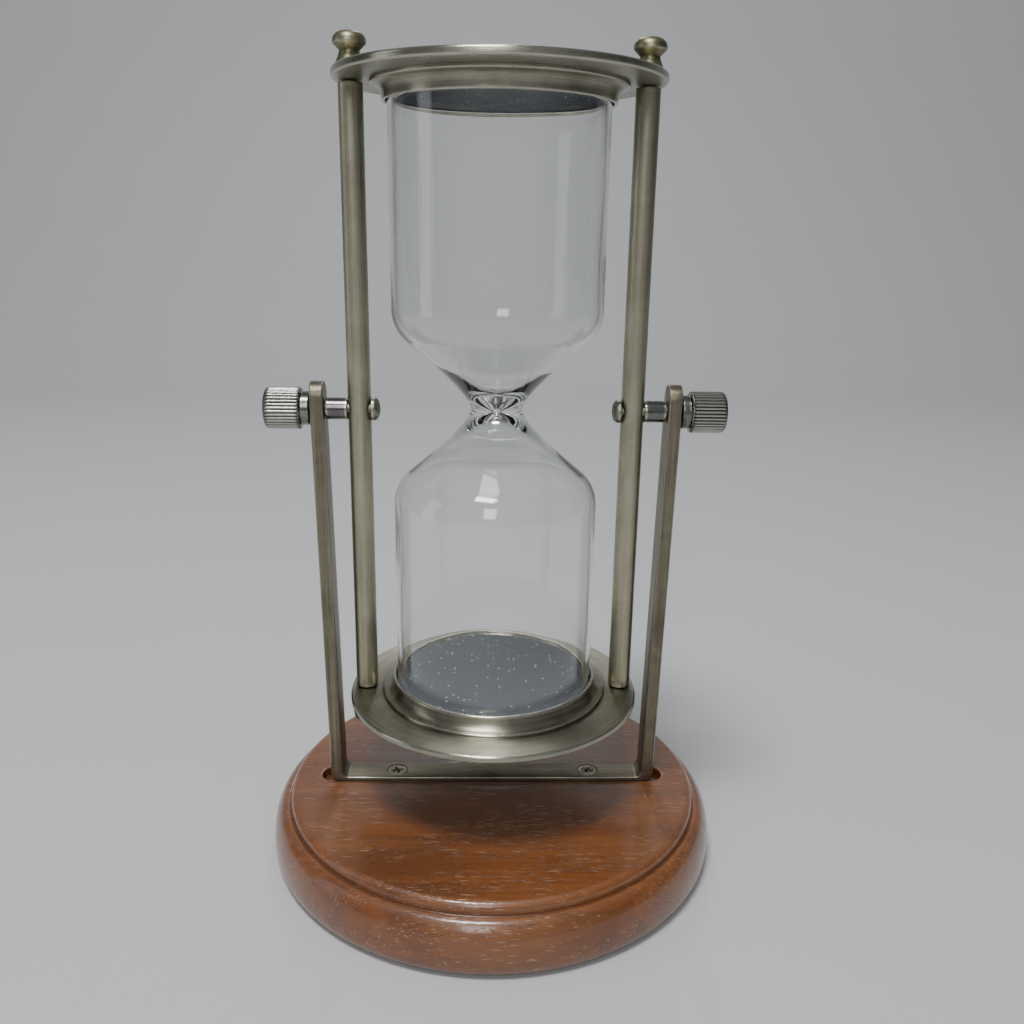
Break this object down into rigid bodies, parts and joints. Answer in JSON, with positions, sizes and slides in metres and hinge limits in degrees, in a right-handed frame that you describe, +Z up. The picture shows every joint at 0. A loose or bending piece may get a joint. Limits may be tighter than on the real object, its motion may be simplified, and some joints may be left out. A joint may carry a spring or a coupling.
{
  "type": "hourglass",
  "caption": "Hourglass in an antique-brass frame that turns over between the uprights of a U-shaped bracket on a round turned wooden base; knurled thumb nuts clamp the swivel.",
  "frame": {"origin": "centre of the felt's underside, on the surface that it stands on", "axes": "+Z up; X along the swivel axis, +X to the right seen from the front; -Y faces the viewer"},
  "size_m": [0.1456, 0.1456, 0.25],
  "materials": {
    "antique_brass": "brushed satin with darker edges",
    "dark_nickel": "polished dark plating",
    "dark_steel": "dull bronzed",
    "mahogany": "semi-gloss lacquer",
    "clear_glass": "polished",
    "black_rubber": "matte",
    "felt": "matte felt"
  },
  "bodies": {
    "stand": {"base_felt_pad": "felt", "wooden_base": "mahogany", "u_bracket": "antique_brass", "bracket_screw_left": "dark_steel", "bracket_screw_right": "dark_steel"},
    "frame": {"glass_bulb": "clear_glass", "end_plate_top": "antique_brass", "end_plate_bottom": "antique_brass", "end_pad_top": "black_rubber", "end_pad_bottom": "black_rubber", "finial_top_left": "antique_brass", "finial_top_right": "antique_brass", "finial_bottom_left": "antique_brass", "finial_bottom_right": "antique_brass", "support_post_left": "antique_brass", "support_post_right": "antique_brass", "pivot_screw_left": "antique_brass", "pivot_screw_right": "antique_brass", "spacer_sleeve_left": "dark_nickel", "spacer_sleeve_right": "dark_nickel"},
    "nut_left": {"knurled_nut_left": "dark_nickel"},
    "nut_right": {"knurled_nut_right": "dark_nickel"}
  },
  "joints": [
    {"name": "frame_swivel", "type": "hinge", "parent": "stand", "child": "frame", "pos_m": [0, 0, 0.1456], "axis": [1, 0, 0], "continuous": true},
    {"name": "nut_left_turn", "type": "hinge", "parent": "frame", "child": "nut_left", "pos_m": [-0.0645, 0, 0.1456], "axis": [1, 0, 0], "continuous": true},
    {"name": "nut_right_turn", "type": "hinge", "parent": "frame", "child": "nut_right", "pos_m": [0.0645, 0, 0.1456], "axis": [1, 0, 0], "continuous": true}
  ]
}
